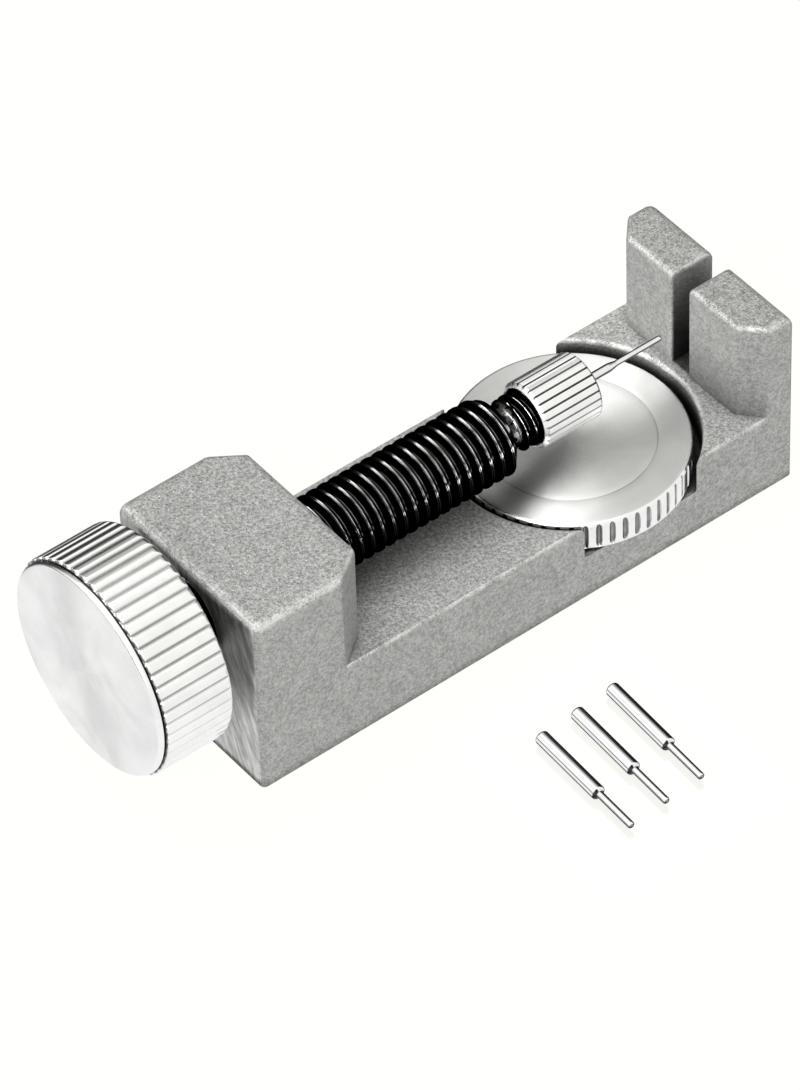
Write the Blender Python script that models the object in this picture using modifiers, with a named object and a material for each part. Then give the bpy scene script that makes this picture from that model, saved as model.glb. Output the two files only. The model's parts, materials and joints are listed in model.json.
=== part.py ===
"""Screw-driven watch-band link remover: a cast body, a knurled knob on a drive screw, a tip holder
with its drive pin, a height disc on its stud, and three spare drive pins.
Metres, +Z up, +X from the knob towards the slotted posts.
The origin is the centre of the casting's underside."""

import math
from contextlib import contextmanager

import bmesh
import bpy
from mathutils import Matrix, Vector

MM = 0.001

# ---- driving dimensions, millimetres; R is a radius, X and Z are places in the origin's frame ----
BODY_LENGTH = 62.1
BODY_WIDTH = 20.45
TOWER_HEIGHT = 20.75
POST_HEIGHT = 20.5
DECK_HEIGHT = 9.3
TOWER_LENGTH = 13.15
POST_LENGTH = 5.05
# vertical facets: on the tower's corners that face the posts, and the posts' that face the tower
TOWER_CHAMFER_X, TOWER_CHAMFER_Y = 3.45, 2.45
POST_CHAMFER_X, POST_CHAMFER_Y = 2.25, 2.45
SLOT_WIDTH = 2.35
# edge radii of the casting
TOWER_TOP_EDGE, TOWER_INNER_EDGE, TOWER_CORNER_EDGE, FACET_EDGE = 1.1, 0.7, 0.9, 0.3
POST_TOP_EDGE, POST_CORNER_EDGE, SLOT_EDGE = 0.9, 0.7, 0.4
DECK_EDGE, FOOT_EDGE = 0.8, 0.25

SCREW_AXIS_Z = 14.85
SCREW_CREST_R, SCREW_ROOT_R, SCREW_PITCH = 4.0, 3.25, 1.25
SCREW_END_X = 4.45  # flat +X end of the main thread
NECK_R, NECK_LENGTH = 2.08, 0.8
STUB_CREST_R, STUB_ROOT_R, STUB_PITCH = 2.75, 2.15, 1.0
STUB_END_X = 11.3
STUB_OVERLAP = 1.1  # how far the stub's core runs into the main thread
SHANK_R, SHANK_LENGTH = 3.0, 5.6
THREAD_CLEARANCE = 0.15  # radial, between the screw and the tapped tower
END_BEVEL = 0.9  # length of the cone on the +X end of both threads
MOUTH_DEPTH = 0.75  # countersinks at the ends of the tapped hole

KNOB_R, KNOB_LENGTH = 11.0, 8.3
KNOB_RIM_R = 10.7  # the turned rim at the -X end of the ribs
KNOB_GAP = 3.0  # between the knob and the tower
KNOB_RIBS, KNOB_RIB_DEPTH = 52, 0.36
RIM_ROUND_R, RIM_ROUND_X = 0.55, 0.5  # radial and axial size of the rim's rounded edge
SOCKET_CLEARANCE = 0.3  # around the screw's shank and past its end

HOLDER_R, HOLDER_LENGTH, HOLDER_X = 3.4, 6.7, 7.5
HOLDER_BORE_R = 2.9
HOLDER_GROOVES, HOLDER_GROOVE_DEPTH = 26, 0.22
HOLDER_WALL = 1.1  # end wall around the pin

PIN_HEAD_R, PIN_HEAD_LENGTH = 1.2, 1.2
PIN_BODY_R, PIN_TIP_R = 0.43, 0.28
PIN_SHOULDER_X, PIN_TIP_X = 18.0, 23.7
PIN_TAPER = 0.25  # half the length of the cone from body to tip
PIN_CLEARANCE = 0.3

DISC_X, DISC_R, DISC_THICKNESS = 12.85, 11.45, 3.1
DISC_TOP_Z = 8.7
DISC_RIBS, DISC_RIB_DEPTH = 56, 0.3
RECESS_R = 12.2
RECESS_FLOOR_Z = 5.3
STUD_R, STUD_ROOT_R, STUD_PITCH = 2.45, 2.0, 0.8
STUD_BORE_R = 2.7
BORE_CHAMFER = 0.5
STUD_BOTTOM_Z = 0.7
STUD_SEAT_DEPTH = 1.9  # how far the stud goes up into the disc
SEAT_CLEARANCE_R, SEAT_CLEARANCE_Z = 0.25, 0.3

SPARE_SHANK_R, SPARE_SHANK_LENGTH = 0.71, 8.7
SPARE_TIP_R, SPARE_TIP_LENGTH = 0.355, 4.9
SPARE_FIRST = (-8.15, -21.5)  # x, y of the first spare pin's shank end
SPARE_STEP = (4.33, 0.27)
SPARE_TURNS = (-92.4, -92.6, -92.8)  # degrees about +Z from +X, one for each pin

OVERCUT = 1  # how far cutters run past the faces they cut
SMOOTH_ANGLE = math.radians(35)  # edges sharper than this stay sharp
FLAT_ANGLE = math.radians(0.4)  # faces closer to flat than this are merged

# ---- places worked out from them ----
HALF_LENGTH, HALF_WIDTH = BODY_LENGTH / 2, BODY_WIDTH / 2
TOWER_FACE_X = -HALF_LENGTH + TOWER_LENGTH  # the tower's face towards the posts
POST_FACE_X = HALF_LENGTH - POST_LENGTH
KNOB_INNER_X = -HALF_LENGTH - KNOB_GAP  # the knob's face towards the tower
KNOB_OUTER_X = KNOB_INNER_X - KNOB_LENGTH
SHANK_START_X = KNOB_INNER_X - SHANK_LENGTH
DISC_BOTTOM_Z = DISC_TOP_Z - DISC_THICKNESS
STUD_TOP_Z = DISC_BOTTOM_Z + STUD_SEAT_DEPTH
SCREW_AXIS = (0, 0, SCREW_AXIS_Z)
DISC_AXIS = (DISC_X, 0, 0)

for old in list(bpy.data.objects):
    bpy.data.objects.remove(old, do_unlink=True)

parts = bpy.data.collections.new("link_remover")
cutters = bpy.data.collections.new("cutters")
for group in (parts, cutters):
    bpy.context.scene.collection.children.link(group)


# ---- helpers ----
def material(name, colour, roughness, metallic):
    made = bpy.data.materials.new(name)
    made.use_nodes = True
    inputs = made.node_tree.nodes["Principled BSDF"].inputs
    inputs["Base Color"].default_value = (*colour, 1)
    inputs["Roughness"].default_value = roughness
    inputs["Metallic"].default_value = metallic
    return made


def add(name, data, collection):
    obj = bpy.data.objects.new(name, data)
    collection.objects.link(obj)
    if collection is cutters:
        obj.hide_render = True
        obj.display_type = "WIRE"
    return obj


def bake(obj):
    """The object with its evaluated mesh and no modifiers left."""
    bpy.context.view_layer.update()
    evaluated = obj.evaluated_get(bpy.context.evaluated_depsgraph_get())
    mesh = bpy.data.meshes.new_from_object(evaluated)
    name, collection = obj.name, obj.users_collection[0]
    bpy.data.objects.remove(obj, do_unlink=True)
    return add(name, mesh, collection)


@contextmanager
def edited(mesh):
    """Opens a mesh as a bmesh and writes it back at the end."""
    bm = bmesh.new()
    bm.from_mesh(mesh)
    yield bm
    bm.to_mesh(mesh)
    bm.free()


def clean(obj, weld=1e-6, dissolve=True):
    """Welds vertices closer than weld metres, merges flat faces and turns normals outwards."""
    with edited(obj.data) as bm:
        bmesh.ops.remove_doubles(bm, verts=bm.verts, dist=weld)
        if dissolve:
            bmesh.ops.dissolve_limit(bm, angle_limit=FLAT_ANGLE, verts=bm.verts, edges=bm.edges)
        bmesh.ops.recalc_face_normals(bm, faces=bm.faces)
    return obj


def cut(obj, cutter, operation="DIFFERENCE"):
    """One Boolean, baked, with slivers shorter than a few microns welded."""
    modifier = obj.modifiers.new("cut", "BOOLEAN")
    modifier.operation = operation
    modifier.solver = "EXACT"
    modifier.object = cutter
    return clean(bake(obj), weld=3e-6, dissolve=False)


def shift(obj, x=0, z=0):
    """Moves the mesh, not the object, by millimetres."""
    obj.data.transform(Matrix.Translation((x * MM, 0, z * MM)))
    return obj


def along_x(obj, z=SCREW_AXIS_Z):
    """Lays a body made about Z so that its +Z points along +X, at height z."""
    obj.data.transform(Matrix.Rotation(math.pi / 2, 4, "Y"))
    return shift(obj, z=z)


def outline(name, points, depth, collection=cutters):
    """A flat outline in XY, filled and extruded by depth along +Z, as a welded mesh."""
    curve = bpy.data.curves.new(name, "CURVE")
    curve.dimensions = "2D"
    curve.fill_mode = "BOTH"
    curve.extrude = depth / 2 * MM
    spline = curve.splines.new("POLY")
    spline.points.add(len(points) - 1)
    for point, (x, y) in zip(spline.points, points):
        point.co = (x * MM, y * MM, 0, 1)
    spline.use_cyclic_u = True
    return shift(clean(bake(add(name, curve, collection))), z=depth / 2)


def swept(name, profile, steps, collection, **settings):
    """A profile of (radius, z), joined to the Z axis at both ends and swept once round it."""
    points = [(0, profile[0][1]), *profile]
    if profile[-1][0] > 0:
        points.append((0, profile[-1][1]))
    mesh = bpy.data.meshes.new(name)
    with edited(mesh) as bm:
        verts = [bm.verts.new((r * MM, 0, z * MM)) for r, z in points]
        for pair in zip(verts, verts[1:]):
            bm.edges.new(pair)
    obj = add(name, mesh, collection)
    modifier = obj.modifiers.new("sweep", "SCREW")
    modifier.steps = modifier.render_steps = steps
    modifier.angle = 2 * math.pi
    modifier.axis = "Z"
    modifier.use_smooth_shade = False
    for key, value in settings.items():
        setattr(modifier, key, value)
    return bake(obj)


def turned(name, profile, steps, collection=parts):
    """A body turned about Z; its profile runs from its top, down its outer side, to its foot."""
    obj = swept(name, profile, steps, collection, use_merge_vertices=True, merge_threshold=1e-6)
    return clean(obj, dissolve=False)


def thread(name, crest, root, pitch, z0, z1, steps):
    """A right-hand threaded cutter about Z that covers z0 to z1 with a whole pitch to spare at
    each end. Bars with the same pitch whose z0 differ by whole pitches are in step."""
    crest_share, root_share = 0.14, 0.26  # flats, as shares of the pitch
    flank = (1 - crest_share - root_share) / 2
    tooth = (
        (0, root),
        (root_share, root),
        (root_share + flank, crest),
        (root_share + flank + crest_share, crest),
    )
    top = math.ceil((z1 - z0) / pitch) + 1
    profile = [(r, (k + share) * pitch + z0) for k in range(-1, top) for share, r in tooth]
    profile.append((root, top * pitch + z0))
    obj = swept(name, profile[::-1], steps, cutters, screw_offset=pitch * MM)
    with edited(obj.data) as bm:
        bmesh.ops.remove_doubles(bm, verts=bm.verts, dist=1e-5)
        rim = [edge for edge in bm.edges if len(edge.link_faces) == 1]
        bmesh.ops.holes_fill(bm, edges=rim, sides=0)
        bmesh.ops.recalc_face_normals(bm, faces=bm.faces)
    return obj


def ribbed(name, radius, depth, count, profile, groove_share, steps):
    """A turned blank whose side carries count straight rounded ribs with narrow grooves between.
    Where the blank is smaller than the groove floors it stays plain."""
    # share of the way to the next groove, drop below the rib's crest as a share of depth
    rib = ((0, 1), (groove_share / 2, 0.12), (0.5, 0), (1 - groove_share / 2, 0.12))
    points = []
    for i in range(count):
        for share, drop in rib:
            angle = 2 * math.pi * (i + share) / count
            r = radius - depth * drop
            points.append((r * math.cos(angle), r * math.sin(angle)))
    heights = [z for _, z in profile]
    low, high = min(heights) - OVERCUT, max(heights) + OVERCUT
    star = shift(outline(name + "_ribs", points, high - low), z=low)
    return cut(turned(name, profile, steps), star, "INTERSECT")


def finish(obj, mat, origin=(0, 0, 0)):
    """Gives a finished piece its material and moves its origin onto its own axis."""
    origin = Vector(origin) * MM
    obj.data.transform(Matrix.Translation(-origin))
    obj.location = origin
    obj.data.materials.clear()
    obj.data.materials.append(mat)
    obj.data.shade_smooth()
    obj.data.set_sharp_from_angle(angle=SMOOTH_ANGLE)
    return obj


# ---- the casting: base, tower and slotted posts ----
def plain_casting():
    """The casting with sharp edges and no holes."""
    base = [(-HALF_LENGTH, -HALF_WIDTH), (HALF_LENGTH, -HALF_WIDTH),
            (HALF_LENGTH, HALF_WIDTH), (-HALF_LENGTH, HALF_WIDTH)]
    body = outline("body_casting", base, DECK_HEIGHT, parts)
    facet_x, facet_y = TOWER_FACE_X - TOWER_CHAMFER_X, HALF_WIDTH - TOWER_CHAMFER_Y
    tower = [(-HALF_LENGTH, -HALF_WIDTH), (facet_x, -HALF_WIDTH), (TOWER_FACE_X, -facet_y),
             (TOWER_FACE_X, facet_y), (facet_x, HALF_WIDTH), (-HALF_LENGTH, HALF_WIDTH)]
    blocks = [outline("tower_block", tower, TOWER_HEIGHT)]
    for side in (-1, 1):
        slot_y = side * SLOT_WIDTH / 2
        post = [(HALF_LENGTH, side * HALF_WIDTH),
                (POST_FACE_X + POST_CHAMFER_X, side * HALF_WIDTH),
                (POST_FACE_X, side * (HALF_WIDTH - POST_CHAMFER_Y)),
                (POST_FACE_X, slot_y), (HALF_LENGTH, slot_y)]
        blocks.append(outline(f"post_block_{side}", post, POST_HEIGHT))
    for block in blocks:
        body = cut(body, block, "UNION")
    return clean(body)


def edge_radius(edge):
    """The casting's edge radius for one edge of its plain form, in millimetres."""
    if not edge.is_convex:
        return 0
    near = 0.1  # tolerance on an edge's place
    start, end = (vert.co / MM for vert in edge.verts)
    middle = (start + end) / 2
    at_post = middle.x > 0
    if abs(start.z - end.z) > 1:  # upright
        if at_post:
            return SLOT_EDGE if abs(middle.y) < SLOT_WIDTH / 2 + near else POST_CORNER_EDGE
        return TOWER_CORNER_EDGE if middle.x < -HALF_LENGTH + near else FACET_EDGE
    if middle.z < near:
        return FOOT_EDGE
    if middle.z <= DECK_HEIGHT + 1:
        return DECK_EDGE
    if at_post:
        return POST_TOP_EDGE
    inner = min(start.x, end.x) > TOWER_FACE_X - TOWER_CHAMFER_X - near
    return TOWER_INNER_EDGE if inner else TOWER_TOP_EDGE


def round_edges(body):
    with edited(body.data) as bm:
        weight = bm.edges.layers.float.new("bevel_weight_edge")
        for edge in bm.edges:
            edge[weight] = edge_radius(edge) / TOWER_TOP_EDGE
    bevel = body.modifiers.new("rounded_edges", "BEVEL")
    bevel.width = TOWER_TOP_EDGE * MM  # the largest radius, at weight 1
    bevel.segments = 2
    bevel.limit_method = "WEIGHT"
    bevel.use_clamp_overlap = True
    return clean(bake(body), dissolve=False)


def disc_recess():
    """The round pocket for the disc, with a flared rim at the deck."""
    flare_r, top = RECESS_R + 0.45, DECK_HEIGHT + OVERCUT
    profile = [(flare_r, top), (flare_r, DECK_HEIGHT + 0.02),
               (RECESS_R + 0.12, DECK_HEIGHT - 0.2), (RECESS_R, DECK_HEIGHT - 0.55),
               (RECESS_R, RECESS_FLOOR_Z)]
    return shift(turned("recess_cutter", profile, 72, cutters), x=DISC_X)


def stud_bore():
    """A through bore under the recess, chamfered at both ends."""
    wide_r = STUD_BORE_R + BORE_CHAMFER
    profile = [(wide_r, RECESS_FLOOR_Z + OVERCUT), (wide_r, RECESS_FLOOR_Z),
               (STUD_BORE_R, RECESS_FLOOR_Z - BORE_CHAMFER), (STUD_BORE_R, BORE_CHAMFER),
               (wide_r, 0), (wide_r, -OVERCUT)]
    return shift(turned("stud_bore_cutter", profile, 32, cutters), x=DISC_X)


def tower_bore():
    """The tapped hole, in step with the screw's main thread."""
    return along_x(thread(
        "tower_thread_cutter", SCREW_CREST_R + THREAD_CLEARANCE, SCREW_ROOT_R + THREAD_CLEARANCE,
        SCREW_PITCH, KNOB_INNER_X, SCREW_END_X, 16))


def bore_mouth(x, direction):
    """A countersink in the tower face at x that opens towards -X or +X."""
    mouth_r = SCREW_CREST_R + THREAD_CLEARANCE + 0.45
    profile = [(mouth_r + OVERCUT, OVERCUT), (mouth_r, 0), (SCREW_ROOT_R, -MOUTH_DEPTH)]
    cone = turned(f"mouth_cutter_{direction}", profile, 48, cutters)
    if direction < 0:
        cone.data.transform(Matrix.Rotation(math.pi, 4, "X"))
    return along_x(shift(cone, z=x))


def build_casting(mat):
    body = round_edges(plain_casting())
    holes = [disc_recess(), stud_bore(), tower_bore(),
             bore_mouth(-HALF_LENGTH, -1), bore_mouth(TOWER_FACE_X, 1)]
    for hole in holes:
        body = cut(body, hole)
    finish(clean(body), mat)


# ---- the drive screw: shank in the knob, main thread, neck and threaded stub ----
def screw_stub():
    """The neck and the threaded stub; the neck is thinner than the thread's root."""
    blank_r, neck_end = STUB_CREST_R + 0.12, SCREW_END_X + NECK_LENGTH
    profile = [(STUB_ROOT_R - 0.2, STUB_END_X), (blank_r, STUB_END_X - END_BEVEL),
               (blank_r, neck_end + 0.5), (NECK_R, neck_end),
               (NECK_R, SCREW_END_X - STUB_OVERLAP)]
    stub = turned("stub", profile, 24, cutters)
    ridges = thread("stub_thread", STUB_CREST_R, STUB_ROOT_R, STUB_PITCH,
                    SCREW_END_X - 2, STUB_END_X, 12)
    return cut(stub, ridges, "INTERSECT")


def build_screw(mat):
    blank_r, thread_start = SCREW_CREST_R + 0.15, KNOB_INNER_X + 0.3
    profile = [(SCREW_ROOT_R - 0.45, SCREW_END_X), (blank_r, SCREW_END_X - END_BEVEL),
               (blank_r, thread_start + 0.35), (SCREW_CREST_R - 0.5, thread_start),
               (SHANK_R, thread_start),
               (SHANK_R, SHANK_START_X + 0.3), (SHANK_R - 0.3, SHANK_START_X)]
    screw = turned("drive_screw", profile, 32)
    # the bar starts whole pitches before the tower's, so as to hold the shank and stay in step
    lead = math.ceil(SHANK_LENGTH / SCREW_PITCH) * SCREW_PITCH
    ridges = thread("main_thread", SCREW_CREST_R, SCREW_ROOT_R, SCREW_PITCH,
                    KNOB_INNER_X - lead, SCREW_END_X, 16)
    screw = cut(screw, ridges, "INTERSECT")
    finish(cut(along_x(screw), along_x(screw_stub()), "UNION"), mat, SCREW_AXIS)


def build_knob(mat):
    blank_r = KNOB_R + 0.05
    profile = [(KNOB_R - 0.75, KNOB_INNER_X), (blank_r, KNOB_INNER_X - 0.5),
               (blank_r, KNOB_OUTER_X + 1.2), (KNOB_RIM_R, KNOB_OUTER_X + 0.95)]
    for i in range(5):  # the rim's rounded edge, a quarter turn in four steps
        angle = math.radians(22.5 * i)
        profile.append((KNOB_RIM_R - RIM_ROUND_R * (1 - math.cos(angle)),
                        KNOB_OUTER_X + 0.15 + RIM_ROUND_X * (1 - math.sin(angle))))
    # a slightly domed outer face
    profile += [(KNOB_RIM_R * 0.5, KNOB_OUTER_X + 0.04), (0, KNOB_OUTER_X)]
    knob = ribbed("drive_knob", KNOB_R, KNOB_RIB_DEPTH, KNOB_RIBS, profile, 0.42, 64)
    socket_r = SHANK_R + SOCKET_CLEARANCE
    socket = turned("knob_socket", [(socket_r, KNOB_INNER_X + OVERCUT),
                                    (socket_r, SHANK_START_X - SOCKET_CLEARANCE)], 48, cutters)
    finish(along_x(clean(cut(knob, socket))), mat, SCREW_AXIS)


def build_holder(mat):
    """The grooved sleeve over the stub, open at its -X end."""
    end, blank_r = HOLDER_X + HOLDER_LENGTH, HOLDER_R + 0.03
    profile = [(HOLDER_R - 0.5, end), (blank_r, end - 0.4),
               (blank_r, HOLDER_X + 0.3), (HOLDER_R - 0.32, HOLDER_X)]
    holder = ribbed("tip_holder", HOLDER_R, HOLDER_GROOVE_DEPTH, HOLDER_GROOVES, profile, 0.2, 52)
    hole_r, wall_x = PIN_BODY_R + PIN_CLEARANCE, end - HOLDER_WALL
    hollow = turned("holder_hollow", [(hole_r, end + OVERCUT), (hole_r, wall_x),
                                      (HOLDER_BORE_R, wall_x - 0.6),
                                      (HOLDER_BORE_R, HOLDER_X - OVERCUT)], 32, cutters)
    finish(along_x(clean(cut(holder, hollow))), mat, SCREW_AXIS)


def build_drive_pin(mat):
    head_start = STUB_END_X + PIN_CLEARANCE
    head_end = head_start + PIN_HEAD_LENGTH
    profile = [(PIN_TIP_R - 0.06, PIN_TIP_X), (PIN_TIP_R, PIN_TIP_X - 0.08),
               (PIN_TIP_R, PIN_SHOULDER_X + PIN_TAPER), (PIN_BODY_R, PIN_SHOULDER_X - PIN_TAPER),
               (PIN_BODY_R, head_end), (PIN_HEAD_R, head_end - 0.3),
               (PIN_HEAD_R, head_start + 0.15), (PIN_HEAD_R - 0.15, head_start)]
    finish(along_x(turned("drive_pin", profile, 16)), mat, SCREW_AXIS)


# ---- the height disc and its stud ----
def build_disc(mat):
    blank_r = DISC_R + 0.04
    profile = [(DISC_R - 0.45, DISC_TOP_Z), (DISC_R - 0.1, DISC_TOP_Z - 0.12),
               (blank_r, DISC_TOP_Z - 0.5), (blank_r, DISC_BOTTOM_Z + 0.25),
               (DISC_R - 0.25, DISC_BOTTOM_Z)]
    disc = ribbed("height_disc", DISC_R, DISC_RIB_DEPTH, DISC_RIBS, profile, 0.45, 56)
    seat_r = STUD_ROOT_R + SEAT_CLEARANCE_R
    seat = turned("stud_seat", [(seat_r, STUD_TOP_Z + SEAT_CLEARANCE_Z),
                                (seat_r, DISC_BOTTOM_Z - OVERCUT)], 24, cutters)
    finish(shift(clean(cut(disc, seat)), x=DISC_X), mat, DISC_AXIS)


def build_stud(mat):
    """A plain top in the disc's seat and a thread below it."""
    plain_r, blank_r = STUD_ROOT_R - 0.08, STUD_R + 0.1
    profile = [(plain_r, STUD_TOP_Z), (plain_r, DISC_BOTTOM_Z - 0.35),
               (blank_r, DISC_BOTTOM_Z - 0.9), (blank_r, STUD_BOTTOM_Z + 0.75),
               (STUD_ROOT_R - 0.2, STUD_BOTTOM_Z)]
    ridges = thread("stud_thread", STUD_R, STUD_ROOT_R, STUD_PITCH,
                    STUD_BOTTOM_Z - 1, STUD_TOP_Z, 12)
    stud = cut(turned("height_stud", profile, 24), ridges, "INTERSECT")
    finish(shift(stud, x=DISC_X), mat, DISC_AXIS)


def build_spare_pins(mat):
    """Spare pins that lie on the same plane as the casting."""
    shank_end, tip_end = SPARE_SHANK_LENGTH, SPARE_SHANK_LENGTH + SPARE_TIP_LENGTH
    profile = [(SPARE_TIP_R - 0.08, tip_end), (SPARE_TIP_R, tip_end - 0.12),
               (SPARE_TIP_R, shank_end + 0.05), (SPARE_SHANK_R - 0.1, shank_end),
               (SPARE_SHANK_R, shank_end - 0.12), (SPARE_SHANK_R, 0.15), (SPARE_SHANK_R - 0.15, 0)]
    for i, turn in enumerate(SPARE_TURNS):
        spare = finish(along_x(turned(f"spare_pin_{i + 1}", profile, 16), z=0), mat)
        x, y = (first + i * step for first, step in zip(SPARE_FIRST, SPARE_STEP))
        spare.rotation_euler = (0, 0, math.radians(turn))
        spare.location = (x * MM, y * MM, SPARE_SHANK_R * MM)


cast_grey = material("cast_grey", colour=(0.56, 0.56, 0.55), roughness=0.55, metallic=0.75)
bright = material("bright_aluminium", colour=(0.86, 0.86, 0.87), roughness=0.28, metallic=1.0)
oxide = material("black_oxide", colour=(0.015, 0.015, 0.016), roughness=0.25, metallic=0.6)
steel = material("polished_steel", colour=(0.72, 0.72, 0.73), roughness=0.2, metallic=1.0)

build_casting(cast_grey)
build_screw(oxide)
build_knob(bright)
build_holder(bright)
build_drive_pin(steel)
build_disc(bright)
build_stud(steel)
build_spare_pins(steel)
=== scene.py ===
"""The looks of a watch-band link remover: meshes and materials for every piece, on the CAD frame.

The tool stands on the floor, z = 0. Its drive screw lies along X at the height AXIS_Z, with the knob
at the -X end and the pin pointing to +X. The height disc turns about a vertical axis at DISC_X. The
camera looks from -X, -Y and above, so "front" is -Y and "back" is +Y. The spare pins lie on the
floor, nearly along Y. Sizes are in millimetres unless a comment says otherwise.
"""
import json
import math

import bmesh
import bpy
from mathutils import Matrix, Vector


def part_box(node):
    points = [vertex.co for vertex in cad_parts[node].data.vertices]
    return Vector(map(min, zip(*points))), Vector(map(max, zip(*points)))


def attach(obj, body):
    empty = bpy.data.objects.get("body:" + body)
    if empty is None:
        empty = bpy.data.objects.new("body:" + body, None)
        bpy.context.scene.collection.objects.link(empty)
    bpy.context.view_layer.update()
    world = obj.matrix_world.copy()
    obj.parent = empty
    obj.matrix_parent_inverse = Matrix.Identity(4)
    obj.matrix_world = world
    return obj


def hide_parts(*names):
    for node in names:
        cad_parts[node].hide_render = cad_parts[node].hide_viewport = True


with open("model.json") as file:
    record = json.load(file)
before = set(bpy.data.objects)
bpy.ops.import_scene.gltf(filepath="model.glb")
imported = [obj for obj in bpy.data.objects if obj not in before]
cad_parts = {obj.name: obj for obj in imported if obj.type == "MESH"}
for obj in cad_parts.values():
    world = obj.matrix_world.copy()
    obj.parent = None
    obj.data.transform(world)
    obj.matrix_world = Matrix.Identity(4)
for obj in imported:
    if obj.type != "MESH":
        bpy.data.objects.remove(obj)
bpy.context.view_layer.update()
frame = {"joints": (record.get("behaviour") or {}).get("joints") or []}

MM = 0.001
TAU = 2 * math.pi


def box_mm(node):
    low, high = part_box(node)
    return [v / MM for v in low], [v / MM for v in high]


JOINTS = {j["name"]: j for j in frame["joints"]}
AXIS_Z = JOINTS["screw_turn"]["pos_m"][2] / MM
DISC_X = JOINTS["disc_turn"]["pos_m"][0] / MM
SCREW_AXIS = (0, 0, AXIS_Z)  # a point on the drive screw's axis
DISC_AXIS = (DISC_X, 0, 0)  # a point on the height disc's axis
CAST_LO, CAST_HI = box_mm("body_casting")
KNOB_LO, KNOB_HI = box_mm("drive_knob")
DISC_LO, DISC_HI = box_mm("height_disc")
HOLD_LO, HOLD_HI = box_mm("tip_holder")
SCREW_LO, SCREW_HI = box_mm("drive_screw")
PIN_LO, PIN_HI = box_mm("drive_pin")
STUD_LO, STUD_HI = box_mm("height_stud")

# casting: a low deck with a tower at the -X end and two posts with a slot between them at the +X end
HALF_LENGTH, HALF_WIDTH, TOP = CAST_HI
POST_TOP, DECK = TOP - 0.25, 9.3
TOWER_FACE_X, POST_FACE_X = -HALF_LENGTH + 13.15, HALF_LENGTH - 5.05
HALF_SLOT = 1.175

# thread of the drive screw and of its bore
PITCH, CREST, ROOT = 1.25, 4.0, 3.25
SCREW_END = 4.45  # x where the main thread stops
SHANK_RADIUS = 3.0
SCREW_START = SCREW_LO[0]

piece_collection = bpy.data.collections.new("looks")
bpy.context.scene.collection.children.link(piece_collection)


# ----------------------------------------------------------------------------------- mesh helpers
def new_object(name, mesh):
    o = bpy.data.objects.new(name, mesh)
    piece_collection.objects.link(o)
    return o


def from_faces(name, verts, faces, marks=None):
    """An object in metres from points in millimetres, welded, with its normals outwards.

    marks holds a number from 0 to 1 for each point, by the name of the attribute that keeps it.
    """
    weld_distance = 2e-7  # metres
    mesh = bpy.data.meshes.new(name)
    mesh.from_pydata([tuple(c * MM for c in v) for v in verts], [], faces)
    for key, values in (marks or {}).items():
        mesh.attributes.new(key, "FLOAT", "POINT").data.foreach_set("value", values)
    bm = bmesh.new()
    bm.from_mesh(mesh)
    bmesh.ops.remove_doubles(bm, verts=bm.verts, dist=weld_distance)
    bmesh.ops.dissolve_degenerate(bm, edges=bm.edges, dist=weld_distance)
    loose = [v for v in bm.verts if not v.link_faces]
    bmesh.ops.delete(bm, geom=loose, context="VERTS")
    bmesh.ops.recalc_face_normals(bm, faces=bm.faces)
    bm.to_mesh(mesh)
    bm.free()
    return new_object(name, mesh)


def smooth_shade(o, angle):
    o.data.shade_smooth()
    o.data.set_sharp_from_angle(angle=math.radians(angle))


def even_angles(count):
    return [TAU * i / count for i in range(count)]


def rib_angles(count, shares):
    """Angles for evenly spaced ribs; shares are the places of the points across one rib."""
    return [TAU * (i + share) / count for i in range(count) for share in shares]


def arc(start, step, count):
    """Evenly stepped angles in radians from degrees."""
    return [math.radians(start + step * i) for i in range(count)]


def turned_shell(stations, angles, profile=None):
    """Points, faces and marks of a surface turned about X.

    stations are (place along the axis, radius); a radius of 0 closes the shell on the axis.
    profile(s, r, angle) gives the radius of a station at an angle, how far the point is down a
    groove ("cut") and how far down the gap behind a rim ("gap").
    """
    count = len(angles)
    verts, faces, rows, cuts, gaps = [], [], [], [], []
    for s, r in stations:
        if r <= 1e-9:
            rows.append([len(verts)] * count)
            verts.append((s, 0.0, 0.0))
            cuts.append(0.0)
            gaps.append(0.0)
            continue
        rows.append(list(range(len(verts), len(verts) + count)))
        for angle in angles:
            radius, cut, gap = profile(s, r, angle) if profile else (r, 0.0, 0.0)
            verts.append((s, radius * math.cos(angle), radius * math.sin(angle)))
            cuts.append(cut)
            gaps.append(gap)
    for row, following in zip(rows, rows[1:]):
        for j in range(count):
            k = (j + 1) % count
            quad = [row[j], row[k], following[k], following[j]]
            face = [v for i, v in enumerate(quad) if v != quad[i - 1]]
            if len(face) > 2:
                faces.append(face)
    return verts, faces, {"cut": cuts, "gap": gaps}


def placed(verts, axis, centre):
    """Points about X moved to a centre, and first turned about Z instead if the axis is Z."""
    if axis == "Z":
        verts = [(y, z, x) for x, y, z in verts]
    return [tuple(c + shift for c, shift in zip(v, centre)) for v in verts]


def lathe(name, stations, angles, profile=None, axis="X", centre=(0, 0, 0)):
    verts, faces, marks = turned_shell(stations, angles, profile)
    return from_faces(name, placed(verts, axis, centre), faces, marks)


def ring_shell(stations, columns):
    return turned_shell(stations, even_angles(columns))[:2]


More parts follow.
